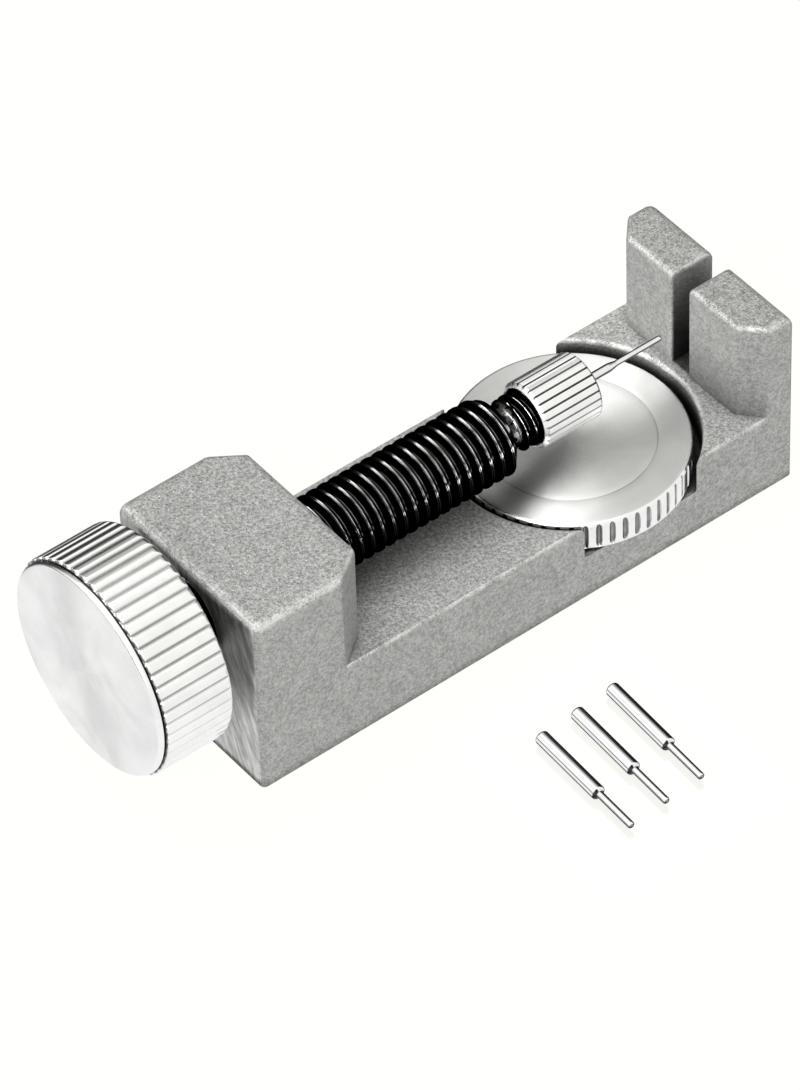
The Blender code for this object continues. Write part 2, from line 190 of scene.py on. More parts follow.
def helix_shell(start, end, pitch, tooth, phase, blank, columns):
    """Points and quads of a right-handed thread about X between two planes.

    tooth is (share of the pitch, radius) over one pitch, starting at phase. blank(x) trims the
    thread, and has to be below its root at both planes.
    """
    first = math.floor((start - phase) / pitch) - 2
    last = math.ceil((end - phase) / pitch) + 2
    rows = [(phase + (k + share) * pitch, r) for k in range(first, last) for share, r in tooth]
    per_turn = len(tooth)
    verts, faces = [], []
    for row_x, r in rows:
        for j in range(columns):
            x = min(max(row_x + pitch * j / columns, start), end)
            radius = min(r, blank(x))
            angle = TAU * j / columns
            verts.append((x, radius * math.cos(angle), radius * math.sin(angle)))
    for i in range(len(rows) - 1):
        for j in range(columns):
            corner, above = i * columns + j, (i + 1) * columns + j
            if j + 1 < columns:
                face = [corner, corner + 1, above + 1, above]
            elif i + per_turn + 1 < len(rows):
                face = [corner, (i + per_turn) * columns, (i + per_turn + 1) * columns, above]
            else:
                continue  # the open corner at the seam's end lies beyond the trimming planes
            along = [verts[f][0] for f in face]
            if max(along) <= start + 1e-9 or min(along) >= end - 1e-9:
                continue
            faces.append(face)
    return verts, faces


def joined(name, shells, axis="X", centre=(0, 0, 0)):
    """One welded mesh from shells that share their end rings."""
    verts, faces = [], []
    for shell_verts, shell_faces in shells:
        base = len(verts)
        verts.extend(shell_verts)
        faces.extend([[i + base for i in face] for face in shell_faces])
    return from_faces(name, placed(verts, axis, centre), faces)


def prism(name, outline, bottom, top):
    """A closed straight block over an outline in the XY plane."""
    count = len(outline)
    verts = [(x, y, z) for z in (bottom, top) for x, y in outline]
    faces = [list(range(count)), list(range(count, 2 * count))]
    faces += [[i, (i + 1) % count, count + (i + 1) % count, count + i] for i in range(count)]
    return from_faces(name, verts, faces)


def bake(o):
    """Replaces an object's mesh by the result of its modifiers."""
    bpy.context.view_layer.update()
    evaluated = o.evaluated_get(bpy.context.evaluated_depsgraph_get())
    mesh = bpy.data.meshes.new_from_object(evaluated)
    o.modifiers.clear()
    old = o.data
    o.data = mesh
    mesh.name = old.name
    bpy.data.meshes.remove(old)
    return o


def weld(o, distance, flat_angle=0.0):
    """Merges points closer than a distance in metres, and faces that lie flat to each other."""
    bm = bmesh.new()
    bm.from_mesh(o.data)
    bmesh.ops.remove_doubles(bm, verts=bm.verts, dist=distance)
    if flat_angle:
        bmesh.ops.dissolve_limit(bm, angle_limit=flat_angle, verts=bm.verts, edges=bm.edges)
    bmesh.ops.recalc_face_normals(bm, faces=bm.faces)
    bm.to_mesh(o.data)
    bm.free()


def boolean(o, tool, operation="DIFFERENCE"):
    modifier = o.modifiers.new("cut", "BOOLEAN")
    modifier.operation = operation
    modifier.solver = "EXACT"
    modifier.object = tool
    bake(o)
    bpy.data.objects.remove(tool, do_unlink=True)
    weld(o, distance=2e-6)


# ------------------------------------------------------------------------------- material helpers
class Signal:
    """A node's output. Arithmetic on it adds further nodes to its tree."""

    def __init__(self, nodes, socket):
        self.nodes, self.socket = nodes, socket

    def __add__(self, other):
        return self.nodes.math("ADD", self, other)

    def __sub__(self, other):
        return self.nodes.math("SUBTRACT", self, other)

    def __mul__(self, other):
        return self.nodes.math("MULTIPLY", self, other)

    def __rmul__(self, other):
        return self.nodes.math("MULTIPLY", other, self)

    def __truediv__(self, other):
        return self.nodes.math("DIVIDE", self, other)

    def __abs__(self):
        return self.nodes.math("ABSOLUTE", self)

    def root(self):
        return self.nodes.math("SQRT", self)

    def larger(self, other):
        return self.nodes.math("MAXIMUM", self, other)

    def smaller(self, other):
        return self.nodes.math("MINIMUM", self, other)

    def ramp(self, start, end, out=(0.0, 1.0)):
        """A smooth step from out[0] at start to out[1] at end. It falls if start is above end."""
        inputs = {"Value": self, "From Min": start, "From Max": end,
                  "To Min": out[0], "To Max": out[1]}
        return self.nodes.output("ShaderNodeMapRange", inputs, "Result",
                                 interpolation_type="SMOOTHSTEP")

    def mix(self, at_0, at_1):
        """A number that goes from at_0 to at_1 as this signal goes from 0 to 1."""
        inputs = {"Factor": self, "A": at_0, "B": at_1}
        return self.nodes.output("ShaderNodeMix", inputs, "Result", data_type="FLOAT")

    def blend(self, at_0, at_1):
        """The same for two colours."""
        return self.nodes.blend(self, at_0, at_1)


class Nodes:
    """Short hand for building one node tree. inputs are values or signals by socket."""

    def __init__(self, tree):
        self.tree = tree

    def add(self, kind, inputs=None, **settings):
        node = self.tree.nodes.new(kind)
        for key, value in settings.items():
            setattr(node, key, value)
        for key, value in (inputs or {}).items():
            if isinstance(value, Signal):
                self.tree.links.new(value.socket, node.inputs[key])
            else:
                node.inputs[key].default_value = value
        return node

    def outputs(self, kind, sockets, inputs=None, **settings):
        node = self.add(kind, inputs, **settings)
        return [Signal(self, node.outputs[socket]) for socket in sockets]

    def output(self, kind, inputs=None, socket=0, **settings):
        return self.outputs(kind, [socket], inputs, **settings)[0]

    def math(self, operation, *values):
        return self.output("ShaderNodeMath", dict(enumerate(values)), operation=operation)

    def vector(self, operation, *values, socket="Vector"):
        return self.output("ShaderNodeVectorMath", dict(enumerate(values)), socket,
                           operation=operation)

    def dot(self, direction, other):
        return self.vector("DOT_PRODUCT", direction, other, socket="Value")

    def opposite(self, direction):
        return self.output("ShaderNodeVectorMath", {0: direction, "Scale": -1.0},
                           operation="SCALE")

    def separate(self, vector):
        return self.outputs("ShaderNodeSeparateXYZ", (0, 1, 2), {0: vector})

    def blend(self, factor, at_0, at_1, how="MIX"):
        colours = [(*c, 1) if isinstance(c, tuple) else c for c in (at_0, at_1)]
        return self.output("ShaderNodeMix", {"Factor": factor, 6: colours[0], 7: colours[1]}, 2,
                           data_type="RGBA", blend_type=how)

    def grey(self, value):
        return self.output("ShaderNodeCombineColor", {0: value, 1: value, 2: value})

    def tinted(self, value, tint):
        """A grey multiplied by a colour."""
        return self.blend(1.0, self.grey(value), tint, how="MULTIPLY")

    def noise(self, vector, scale, detail=2.0, roughness=0.5, distortion=0.0):
        inputs = {"Vector": vector, "Scale": scale, "Detail": detail, "Roughness": roughness,
                  "Distortion": distortion}
        return self.output("ShaderNodeTexNoise", inputs, "Fac")

    def bump(self, height, depth_mm, strength, **inputs):
        inputs |= {"Height": height, "Distance": depth_mm * MM, "Strength": strength}
        return self.output("ShaderNodeBump", inputs, "Normal")

    def mapping(self, vector, **inputs):
        return self.output("ShaderNodeMapping", {"Vector": vector, **inputs})

    def millimetres(self):
        """Object coordinates in millimetres, which move with the piece."""
        coordinates = self.output("ShaderNodeTexCoord", socket="Object")
        return self.mapping(coordinates, Scale=(1000, 1000, 1000))

    def openness(self, distance_mm, samples):
        """1 in the open, 0 in a crevice narrower than the distance."""
        return self.output("ShaderNodeAmbientOcclusion", {"Distance": distance_mm * MM}, "AO",
                           samples=samples)

    def attribute(self, name):
        return self.output("ShaderNodeAttribute", socket="Fac", attribute_name=name)

    def studio(self, direction):
        return self.output("ShaderNodeGroup", {0: direction}, node_tree=STUDIO)

    def emission(self, value):
        return self.output("ShaderNodeEmission", {"Color": self.grey(value)})

    def mix_shader(self, factor, at_0, at_1):
        return self.output("ShaderNodeMixShader", {0: factor, 1: at_0, 2: at_1})

    def surface(self, shader, kind="ShaderNodeOutputMaterial"):
        self.add(kind, {"Surface": shader})


def cleared_nodes(owner):
    owner.use_nodes = True
    owner.node_tree.nodes.clear()
    return Nodes(owner.node_tree)


def new_material(name):
    material = bpy.data.materials.new(name)
    return material, cleared_nodes(material)


GREY_WALL = 0.44  # brightness of the studio's grey wall


def studio_group():
    """What a mirror would see of the studio in a direction: a white room, a grey wall with a dark
    card opposite the camera, a thin dark line at the horizon on the camera's left, a bright softbox
    overhead and a window high on the left."""
    group = bpy.data.node_groups.new("studio", "ShaderNodeTree")
    group.interface.new_socket("Direction", in_out="INPUT", socket_type="NodeSocketVector")
    group.interface.new_socket("Light", in_out="OUTPUT", socket_type="NodeSocketFloat")
    n = Nodes(group)
    direction = n.vector("NORMALIZE", n.output("NodeGroupInput"))
    x, y, z = n.separate(direction)
    level = n.vector("NORMALIZE", n.output("ShaderNodeCombineXYZ", {0: x, 1: y}))

    light = z.ramp(-0.3, 0.6, out=(0.94, 1.0))  # the room, brighter above
    away = n.dot(level, (0.62, 0.785, 0.0))
    wall = away.ramp(0.30, 0.70) * (z.ramp(0.86, 0.74) * z.ramp(-0.70, -0.45))
    light = wall.mix(light, GREY_WALL)
    card = away.ramp(0.50, 0.80) * (z.ramp(0.52, 0.38) * z.ramp(-0.66, -0.45))
    light = card.mix(light, 0.03)
    left = n.dot(level, (-0.83, 0.557, 0.0))
    line = left.ramp(0.3, 0.7) * abs(z + 0.02).ramp(0.12, 0.05)
    light = line.mix(light, 0.06)
    # bright patches: direction, cosines at their rim and core, added brightness
    for toward, rim, core, brightness in (((-0.14, 0.16, 0.97), 0.86, 0.96, 0.62),
                                          ((-0.84, 0.22, 0.49), 0.88, 0.97, 0.5)):
        patch = n.dot(direction, Vector(toward).normalized()).ramp(rim, core)
        light += patch * brightness
    n.add("NodeGroupOutput", {0: light})
    return group


STUDIO = studio_group()


# -------------------------------------------------------------------------------------- materials
def cast_material():
    """Sand-textured die casting: matte grey with a fine sparkling grain, painted shade in its
    crevices and on some faces, painted light on the deck, brighter rounded edges (partly wear,
    partly painted highlight), and smeared and smoother where it was faced behind the knob."""
    material, n = new_material("cast_body")
    spot = n.millimetres()
    normal, incoming = n.outputs("ShaderNodeNewGeometry", ("True Normal", "Incoming"))
    normal_x, normal_y, normal_z = n.separate(normal)
    x, y, z = n.separate(spot)
    # the end the knob turns against
    faced = (normal_x * -1.0).ramp(0.80, 0.93) * x.ramp(CAST_LO[0] + 0.5, CAST_LO[0] + 0.1)
    upward = normal_z.ramp(0.3, 0.9)

    # sandy grain, from medium to fine, and slow changes of tone
    grain = n.noise(spot, scale=2.9, detail=3.0, roughness=0.7)
    fine = n.noise(spot, scale=6.5, detail=2.0, roughness=0.65)
    wide = n.noise(spot, scale=0.16, detail=3.0, roughness=0.55)
    blotch = n.noise(spot, scale=0.75)
    # scattered bright specks and dark hollows, chosen by each cell's random colour
    cell_distance, cell_colour = n.outputs("ShaderNodeTexVoronoi", ("Distance", "Color"),
                                           {"Vector": spot, "Scale": 4.6})
    red, green = n.outputs("ShaderNodeSeparateColor", (0, 1), {0: cell_colour})
    speck = red.ramp(0.80, 0.90) * cell_distance.ramp(0.55, 0.15)
    hollow = green.ramp(0.72, 0.86) * cell_distance.ramp(0.6, 0.2)
    height = grain * 0.6 + fine * 0.4 + (speck - hollow) * 0.18

    # the grain's dark and bright tones, on the sides and on upward faces
    bright = (grain * 0.55 + fine * 0.45).ramp(0.36, 0.64)
    tone = bright.mix(upward.mix(0.265, 0.215), upward.mix(0.48, 0.51))
    tone *= wide.mix(0.95, 1.05)
    tone *= blotch.ramp(0.3, 0.7).mix(0.95, 1.05)
    tone += speck * upward.mix(0.10, 0.22)
    tone *= hollow.mix(1.0, upward.mix(0.85, 0.66))
    # streaks on the faced end, along the sweep of the facing cutter
    turned = n.mapping(spot, Rotation=(math.radians(21), 0, 0))
    stretched = n.mapping(turned, Scale=(0.2, 1.25, 0.22))
    streaks = n.noise(stretched, scale=1.0, detail=5.0, roughness=0.7, distortion=0.7)
    tone = faced.mix(tone, streaks.ramp(0.32, 0.68).mix(0.34, 0.80))
    # worn edges with a painted highlight: brighter where a rounded edge turns between two faces
    tilt = abs(normal_z)
    rounded = tilt.ramp(0.28, 0.55) * tilt.ramp(0.97, 0.80)
    worn_highlight = rounded * (fine * 0.5 + blotch * 0.5).ramp(0.36, 0.6)
    tone = (worn_highlight * 0.6).mix(tone, 0.78)
    # painted shade on the sloping facets, deepest on those that face +X most
    facet = abs(normal_x * normal_y).ramp(0.22, 0.42)
    tone *= facet.mix(1.0, normal_x.ramp(-0.1, 0.1).mix(0.90, 0.83))
    # the narrow slot between the posts is deep in shade, deepest at its foot
    slot = abs(y).ramp(1.45, 1.22) * x.ramp(POST_FACE_X, HALF_LENGTH - 4.7) * z.ramp(8.9, 9.4)
    tone *= slot.mix(1.0, z.ramp(12.5, 20.5, out=(0.10, 0.62)))
    # painted shade and light on the posts' faces toward the tower: the front one darkens to its
    # foot, the back one brightens
    post_face = normal_x.ramp(-0.5, -0.9) * x.ramp(20.0, 21.0)
    front_post = z.ramp(9.3, 17.0, out=(0.58, 1.05))
    back_post = z.ramp(9.3, 17.0, out=(1.30, 1.06))
    tone *= post_face.mix(1.0, y.ramp(-1.0, 1.0).mix(front_post, back_post))
    # painted light on the deck: a little brighter, most of all in its back +X corner
    deck = upward * z.ramp(9.9, 9.5)
    far_corner = x.ramp(20.0, 24.0) * y.ramp(0.5, 3.5)
    tone *= deck.mix(1.0, far_corner.mix(1.07, 1.38))
    # painted shade in the crevices, but not along the foot, which stands on the pale floor
    openness = z.ramp(0.6, 3.2).mix(1.0, n.openness(distance_mm=4.2, samples=6))
    shade = openness.ramp(0.0, 0.66, out=(0.2, 1.0))
    shade = shade * (shade * openness.ramp(0.0, 0.4, out=(0.3, 1.0)))
    tone *= faced.mix(shade, openness.ramp(0.10, 0.80, out=(0.30, 1.0)))

    roughness = fine.mix(0.44, 0.62) - worn_highlight.larger(speck) * 0.14
    sand = n.bump(height, depth_mm=0.13, strength=faced.mix(upward.mix(0.7, 0.95), 0.03))
    metal = n.output("ShaderNodeBsdfPrincipled", {
        "Base Color": n.tinted(tone, (1.0, 0.998, 0.982)),
        "Metallic": faced.mix(0.5, 0.9),
        "Roughness": faced.mix(roughness, streaks.mix(0.26, 0.46)),
        "Specular Tint": (0.6, 0.6, 0.6, 1),
        "Normal": n.bump(streaks, depth_mm=0.03, strength=faced * 0.7, Normal=sand),
    })
    # the long front side does not show in the mirrors of the spare pins and the floor, which see
    # the studio instead
    hidden = n.output("ShaderNodeLightPath", socket="Is Glossy Ray")
    hidden *= (normal_y * -1.0).ramp(0.3, 0.5)
    hidden *= y.ramp(CAST_LO[1] + 3.0, CAST_LO[1] + 2.6)
    beyond = n.emission(n.studio(n.opposite(incoming)))
    n.surface(n.mix_shader(hidden, metal, beyond))
    return material


def turned_metal(name, centre, axis, tone, anisotropy, side_roughness, face_roughness,
                 groove_shade_tones, cloud=0.08, line_radius=None, shade_radius=None):
    """Bright turned aluminium: round tool marks on its flat faces, satin ribs, painted shade in the
    grooves.

    The groove tones are shares of the tone painted as shade in the grooves, at the front and at the
    back. cloud is how far the smudges and the painted reflection clouds on the faces darken.
    line_radius places a fine dark line of painted shade on the faces, and shade_radius bounds the
    painted shade of what stands over them.
    """
    material, n = new_material(name)
    spot = n.millimetres()
    x, y, z = n.separate(n.vector("SUBTRACT", spot, tuple(centre)))
    across = (y, z) if axis == "X" else (x, y)
    radius = (across[0] * across[0] + across[1] * across[1]).root()
    normal = n.output("ShaderNodeNewGeometry", socket="True Normal")
    own_normal = n.output("ShaderNodeVectorTransform", {0: normal}, vector_type="NORMAL",
                          convert_from="WORLD", convert_to="OBJECT")
    face = abs(n.separate(own_normal)["XYZ".index(axis)]).ramp(0.9, 0.99)
    upness = n.separate(normal)[2]
    back_side = (y / radius.larger(0.1)).ramp(-0.2, 0.3)

    # tool marks: rings whose height depends on the radius alone
    ring_place = n.output("ShaderNodeCombineXYZ", {0: radius})
    rings = n.noise(ring_place, scale=6.0, detail=4.0, roughness=0.7)
    slow_rings = n.noise(ring_place, scale=0.7)
    # smudges and handling marks, and soft clouds of painted reflection on the flat faces
    smudge = n.noise(spot, scale=0.30, detail=4.0, roughness=0.6, distortion=0.5)
    reflection_clouds = n.noise(spot, scale=0.13, distortion=0.8)
    drawn_out = n.mapping(spot, Rotation=(0.3, 0.4, 0.9), Scale=(0.25, 5.0, 5.0))
    scratch = n.noise(drawn_out, scale=1.0, detail=3.0, roughness=0.7).ramp(0.68, 0.78)

    shown = (rings.ramp(0.3, 0.7) * face).mix(tone, tone * 0.97)
    shown *= smudge.ramp(0.35, 0.7).mix(1.0, 1.0 - cloud * 0.6)
    shown *= (reflection_clouds.ramp(0.34, 0.66) * face).mix(1.0, 1.0 - cloud)
    # painted shade in the bottoms of the grooves, deeper on the back side, and in the gap behind the
    # rim, weaker where the gap faces up; smudges break it up
    cut = n.attribute("cut").ramp(0.08, 0.75) * smudge.ramp(0.3, 0.7).mix(0.8, 1.0)
    shown = cut.mix(shown, back_side.mix(tone * groove_shade_tones[0], tone * groove_shade_tones[1]))
    gap = n.attribute("gap").ramp(0.1, 0.9) * upness.ramp(0.35, 0.9).mix(1.0, 0.35)
    shown = gap.mix(shown, tone * 0.06)
    if line_radius:
        # a fine dark line of painted shade on the faces, at the ring groove
        line = abs(radius - line_radius).ramp(0.10, 0.03) * face
        shown = (line * reflection_clouds.ramp(0.35, 0.6).mix(0.35, 0.8)).mix(shown, tone * 0.45)
    # shade in the narrow places, deeper at the back
    front_shade, back_shade = (
        n.openness(distance_mm=1.2, samples=4).ramp(0.05, 0.6, out=(deepest, 1.0))
        for deepest in (0.62, 0.25))
    shown *= back_side.mix(front_shade, back_shade)
    if shade_radius:
        over = face * radius.ramp(shade_radius, shade_radius - 3.0) * upness.ramp(0.5, 0.9)
        openness = n.openness(distance_mm=9.0, samples=8)
        shown *= over.mix(1.0, openness.ramp(0.30, 0.86, out=(0.18, 1.0)))

    roughness = face.mix(smudge.mix(side_roughness - 0.04, side_roughness + 0.08),
                         rings.mix(face_roughness - 0.04, face_roughness + 0.05))
    turning = n.bump(rings * face + slow_rings * 0.6, depth_mm=0.006, strength=0.5)
    n.surface(n.output("ShaderNodeBsdfPrincipled", {
        "Base Color": n.tinted(shown, (1.0, 1.0, 0.995)),
        "Metallic": 1.0,
        "Roughness": roughness + scratch * 0.06,
        "Anisotropic": face * anisotropy,
        "Anisotropic Rotation": 0.25,
        "Tangent": n.output("ShaderNodeTangent", direction_type="RADIAL", axis=axis),
        "Normal": n.bump(scratch, depth_mm=0.003, strength=0.3, Normal=turning),
    }))
    return material


def oxide_material():
    """Glossy black oxide with an oily film, and bare steel showing at the neck behind the last
    thread."""
    material, n = new_material("black_oxide")
    spot = n.millimetres()
    x, y, z = n.separate(spot)
    pointiness = n.output("ShaderNodeNewGeometry", socket="Pointiness")
    wear = n.noise(spot, scale=1.6, detail=4.0, roughness=0.65)
    fine = n.noise(spot, scale=9.0, detail=3.0, roughness=0.6)
    patch = n.noise(spot, scale=0.5, detail=3.0, roughness=0.6)
    # bare steel on the neck's upper front, and a trace of it on sharp edges
    neck = x.ramp(4.35, 4.6) * x.ramp(5.75, 5.45)
    upper_front = (z - y * 0.6).ramp(AXIS_Z + 0.4, AXIS_Z + 1.5)
    bare = neck * upper_front * wear.ramp(0.36, 0.5)
    rub = pointiness.ramp(0.56, 0.62) * fine.ramp(0.5, 0.62)
    bare = bare.larger(rub * 0.015)
    oxide = patch.ramp(0.4, 0.75).blend((0.0005, 0.0005, 0.0005), (0.0012, 0.0012, 0.0012))
    # the two lips of each crest are burnished and carry a painted highlight: their brighter metal
    # keeps the strip lights' highlight lines on them; its middle and the flanks are duller
    up = z - AXIS_Z
    radius = (y * y + up * up).root()
    stub_lip = radius.ramp(2.62, 2.70, out=(0.0, 0.4)) * radius.ramp(3.0, 2.9)
    lip = radius.ramp(3.940, 3.954).larger(stub_lip)
    oxide = lip.blend(oxide, (0.016, 0.016, 0.0157))
    n.surface(n.output("ShaderNodeBsdfPrincipled", {
        "Base Color": bare.blend(oxide, (0.0062, 0.0062, 0.0060)),
        "Metallic": 1.0,
        "Specular Tint": (0.04, 0.04, 0.04, 1),
        "Roughness": bare.mix(wear.mix(0.10, 0.17), 0.42),
        "Normal": n.bump(fine, depth_mm=0.005, strength=0.3),
    }))
    return material


def painted_pin_reflection(n, tone, card_top, lines, spots):
    """Painted reflection of a small polished pin, given off as light; it shows the studio alone.

    A black card opposite the camera and the dark just under the pin show in it; the rest of the
    tool does not. card_top is the height of the card's upper edge, as the z of a direction.
    """
    to_camera = (-0.4156, -0.5569, 0.7191)
    mirror = n.output("ShaderNodeTexCoord", socket="Reflection")
    z = n.separate(mirror)[2]
    away = n.dot(mirror, (0.69, 0.725, 0.0))
    black = away.ramp(0.24, 0.36) * (z.ramp(card_top, card_top - 0.08) * z.ramp(-0.82, -0.70))
    incoming = n.output("ShaderNodeNewGeometry", socket="Incoming")
    black *= n.dot(incoming, to_camera).ramp(0.75, 0.92)
    black = black.larger(z.ramp(-0.66, -0.78) * 0.92)
    black = black.larger(n.openness(distance_mm=0.45, samples=8).ramp(0.86, 0.55))
    # painted shade in the reflection: the thin shafts show a dark outline on their lower side too,
    # and the shoulders a dark corner
    outline = n.attribute("cut").ramp(0.3, 0.9) * z.ramp(-0.12, -0.34, out=(0.0, 0.9))
    black = black.larger(outline)
    black = black.larger(n.attribute("gap").ramp(0.25, 0.6))
    seen = n.studio(mirror).smaller(1.15) * spots.ramp(0.4, 0.75).mix(tone, tone * 0.95)
    seen = black.mix(seen, 0.012)
    seen *= lines.ramp(0.3, 0.7).mix(0.97, 1.0)
    # other mirrors see the pins dark
    return n.output("ShaderNodeLightPath", socket="Is Glossy Ray").mix(seen, 0.03)


def steel_material(name, tone, roughness, axis="X", card_top=None):
    """Ground and polished steel with faint lines round it. roughness is its lowest and highest;
    card_top adds a pin's painted reflection, given off as light."""
    material, n = new_material(name)
    spot = n.millimetres()
    stretch = (6.0, 0.4, 0.4) if axis == "X" else (0.4, 0.4, 6.0)
    lines = n.noise(n.mapping(spot, Scale=stretch), scale=2.0, detail=3.0, roughness=0.65)
    spots = n.noise(spot, scale=1.1, detail=4.0, roughness=0.6)
    clean, stained = (tone, tone, tone * 0.995), (tone * 0.92, tone * 0.92, tone * 0.91)
    shader = n.output("ShaderNodeBsdfPrincipled", {
        "Base Color": spots.ramp(0.4, 0.75).blend(clean, stained),
        "Metallic": 1.0,
        "Roughness": lines.mix(*roughness),
        "Normal": n.bump(lines, depth_mm=0.003, strength=0.35),
    })
    if card_top:
        glow = n.emission(painted_pin_reflection(n, tone, card_top, lines, spots))
        shader = n.mix_shader(0.94, shader, glow)
    n.surface(shader)
    return material


def dress(o, material, body, node):
    """Gives a piece its material, the body it rides on and the CAD node it stands for."""
    o.data.materials.clear()
    o.data.materials.append(material)
    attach(o, body)
    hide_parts(node)


# ---------------------------------------------------------------------------------------- casting
# radii of the casting's rounded edges
TOWER_TOP_EDGE, TOWER_INNER_EDGE, TOWER_CORNER, FACET_EDGE = 1.1, 0.7, 0.9, 0.3
POST_OUTER_EDGE, POST_TOP_EDGE, POST_CORNER = 0.95, 0.6, 0.3
POST_BACK_CORNER, POST_FRONT_CORNER = 0.95, 0.45
SLOT_EDGE, DECK_EDGE, FOOT_EDGE = 0.3, 0.8, 0.25
# facets on the tower's and the posts' corners, along X and along Y
TOWER_FACET_X, POST_FACET_X, FACET_Y = 3.45, 2.25, 2.45


def edge_radius(edge):
    if not edge.is_convex:
        return 0
    p, q = (v.co / MM for v in edge.verts)
    middle, upright, at_post = (p + q) / 2, abs(p.z - q.z) > 1, (p.x + q.x) > 0
    if upright:
        if not at_post:
            return TOWER_CORNER if middle.x < -HALF_LENGTH + 0.1 else FACET_EDGE
        if abs(middle.y) < HALF_SLOT + 0.1:
            return SLOT_EDGE
        if middle.x > HALF_LENGTH - 0.1:
            return POST_BACK_CORNER if middle.y > 0 else POST_FRONT_CORNER
        return POST_CORNER
    if middle.z < 0.1:
        return FOOT_EDGE
    if middle.z <= DECK + 1:
        return DECK_EDGE
    if at_post:
        at_end = min(p.x, q.x) > HALF_LENGTH - 0.1
        at_side = min(abs(p.y), abs(q.y)) > HALF_WIDTH - 0.1
        return POST_OUTER_EDGE if at_end or at_side else POST_TOP_EDGE
    inner = min(p.x, q.x) > TOWER_FACE_X - TOWER_FACET_X - 0.1
    return TOWER_INNER_EDGE if inner else TOWER_TOP_EDGE


def casting_block():
    """The deck with the tower and the two posts, still with sharp edges."""
    outline = [(-HALF_LENGTH, -HALF_WIDTH), (HALF_LENGTH, -HALF_WIDTH),
               (HALF_LENGTH, HALF_WIDTH), (-HALF_LENGTH, HALF_WIDTH)]
    casting = prism("casting_body", outline, 0, DECK)
    facet_x, facet_y = TOWER_FACE_X - TOWER_FACET_X, HALF_WIDTH - FACET_Y
    tower = [(-HALF_LENGTH, -HALF_WIDTH), (facet_x, -HALF_WIDTH), (TOWER_FACE_X, -facet_y),
             (TOWER_FACE_X, facet_y), (facet_x, HALF_WIDTH), (-HALF_LENGTH, HALF_WIDTH)]
    blocks = [prism("tower", tower, 0, TOP)]
    for side in (-1, 1):
        post = [(HALF_LENGTH, side * HALF_WIDTH), (POST_FACE_X + POST_FACET_X, side * HALF_WIDTH),
                (POST_FACE_X, side * facet_y), (POST_FACE_X, side * HALF_SLOT),
                (HALF_LENGTH, side * HALF_SLOT)]
        blocks.append(prism(f"post_{side}", post, 0, POST_TOP))
    for block in blocks:
        boolean(casting, block, "UNION")
    weld(casting, distance=1e-6, flat_angle=math.radians(0.4))
    return casting


def round_edges(casting):
    widest = TOWER_TOP_EDGE
    bm = bmesh.new()
    bm.from_mesh(casting.data)
    layer = bm.edges.layers.float.new("bevel_weight_edge")
    for edge in bm.edges:
        edge[layer] = edge_radius(edge) / widest
    bm.to_mesh(casting.data)
    bm.free()
    bevel = casting.modifiers.new("edges", "BEVEL")
    bevel.width = widest * MM
    bevel.segments = 6
    bevel.limit_method = "WEIGHT"
    bevel.use_clamp_overlap = True
    weld(bake(casting), distance=5e-7)


def cut_disc_recess(casting, turn):
    """The round recess for the height disc, with a rounded lip, and the stud's bore below it."""
    radius, floor, lip = 12.2, 5.3, 0.5
    boolean(casting, lathe(
        "recess_cutter",
        [(DECK + 1.5, 0), (DECK + 1.5, radius + lip + 0.35), (DECK + 0.02, radius + lip + 0.06)]
        + [(DECK - lip + lip * math.sin(t), radius + lip - lip * math.cos(t))
           for t in arc(90, -11.25, 9)]
        + [(floor + 0.15, radius), (floor, radius - 0.15), (floor, 0)],
        turn, axis="Z", centre=DISC_AXIS))
    bore, flare = 2.7, 0.5
    boolean(casting, lathe(
        "stud_bore_cutter",
        [(floor + 1, 0), (floor + 1, bore + flare), (floor, bore + flare), (floor - flare, bore),
         (flare, bore), (0, bore + flare), (-1, bore + flare), (-1, 0)],
        turn[::4], axis="Z", centre=DISC_AXIS))


def cut_tapped_bore(casting, turn):
    """The threaded bore through the tower, with a rounded mouth at both ends."""
    clearance = 0.15
    # share of the pitch, radius
    tooth = [(0.0, ROOT + clearance), (0.16, ROOT + clearance),
             (0.47, CREST + clearance), (0.69, CREST + clearance)]
    start, end, end_radius, columns = -HALF_LENGTH - 2, TOWER_FACE_X + 2, 3.0, 64

    def blank(x):
        return min(9.0, end_radius + 4 * (x - start), end_radius + 4 * (end - x))

    boolean(casting, joined(
        "tapped_bore_cutter",
        [ring_shell([(start, 0), (start, end_radius)], columns),
         helix_shell(start, end, PITCH, tooth, SCREW_END, blank, columns),
         ring_shell([(end, end_radius), (end, 0)], columns)], centre=SCREW_AXIS))
    radius, curve = CREST + clearance, 0.45
    for x, outward in ((-HALF_LENGTH, -1), (TOWER_FACE_X, 1)):
        deep, mouth = x - outward * 2 * curve, x + outward * 1.0
        boolean(casting, lathe(
            "mouth_cutter",
            [(deep, 0), (deep, radius - curve)]
            + [(x - outward * curve + outward * curve * math.sin(t),
                radius + curve - curve * math.cos(t)) for t in arc(0, 18, 6)]
            + [(mouth, radius + 0.6), (mouth, 0)],
            turn[::3], centre=SCREW_AXIS))


def make_casting():
    casting = casting_block()
    round_edges(casting)
    turn = even_angles(256)
    cut_disc_recess(casting, turn)
    cut_tapped_bore(casting, turn)
    smooth_shade(casting, 32)
    normals = casting.modifiers.new("flat_faces", "WEIGHTED_NORMAL")
    normals.keep_sharp = True
    normals.weight = 60
    dress(casting, cast_material(), "casting", "body_casting")


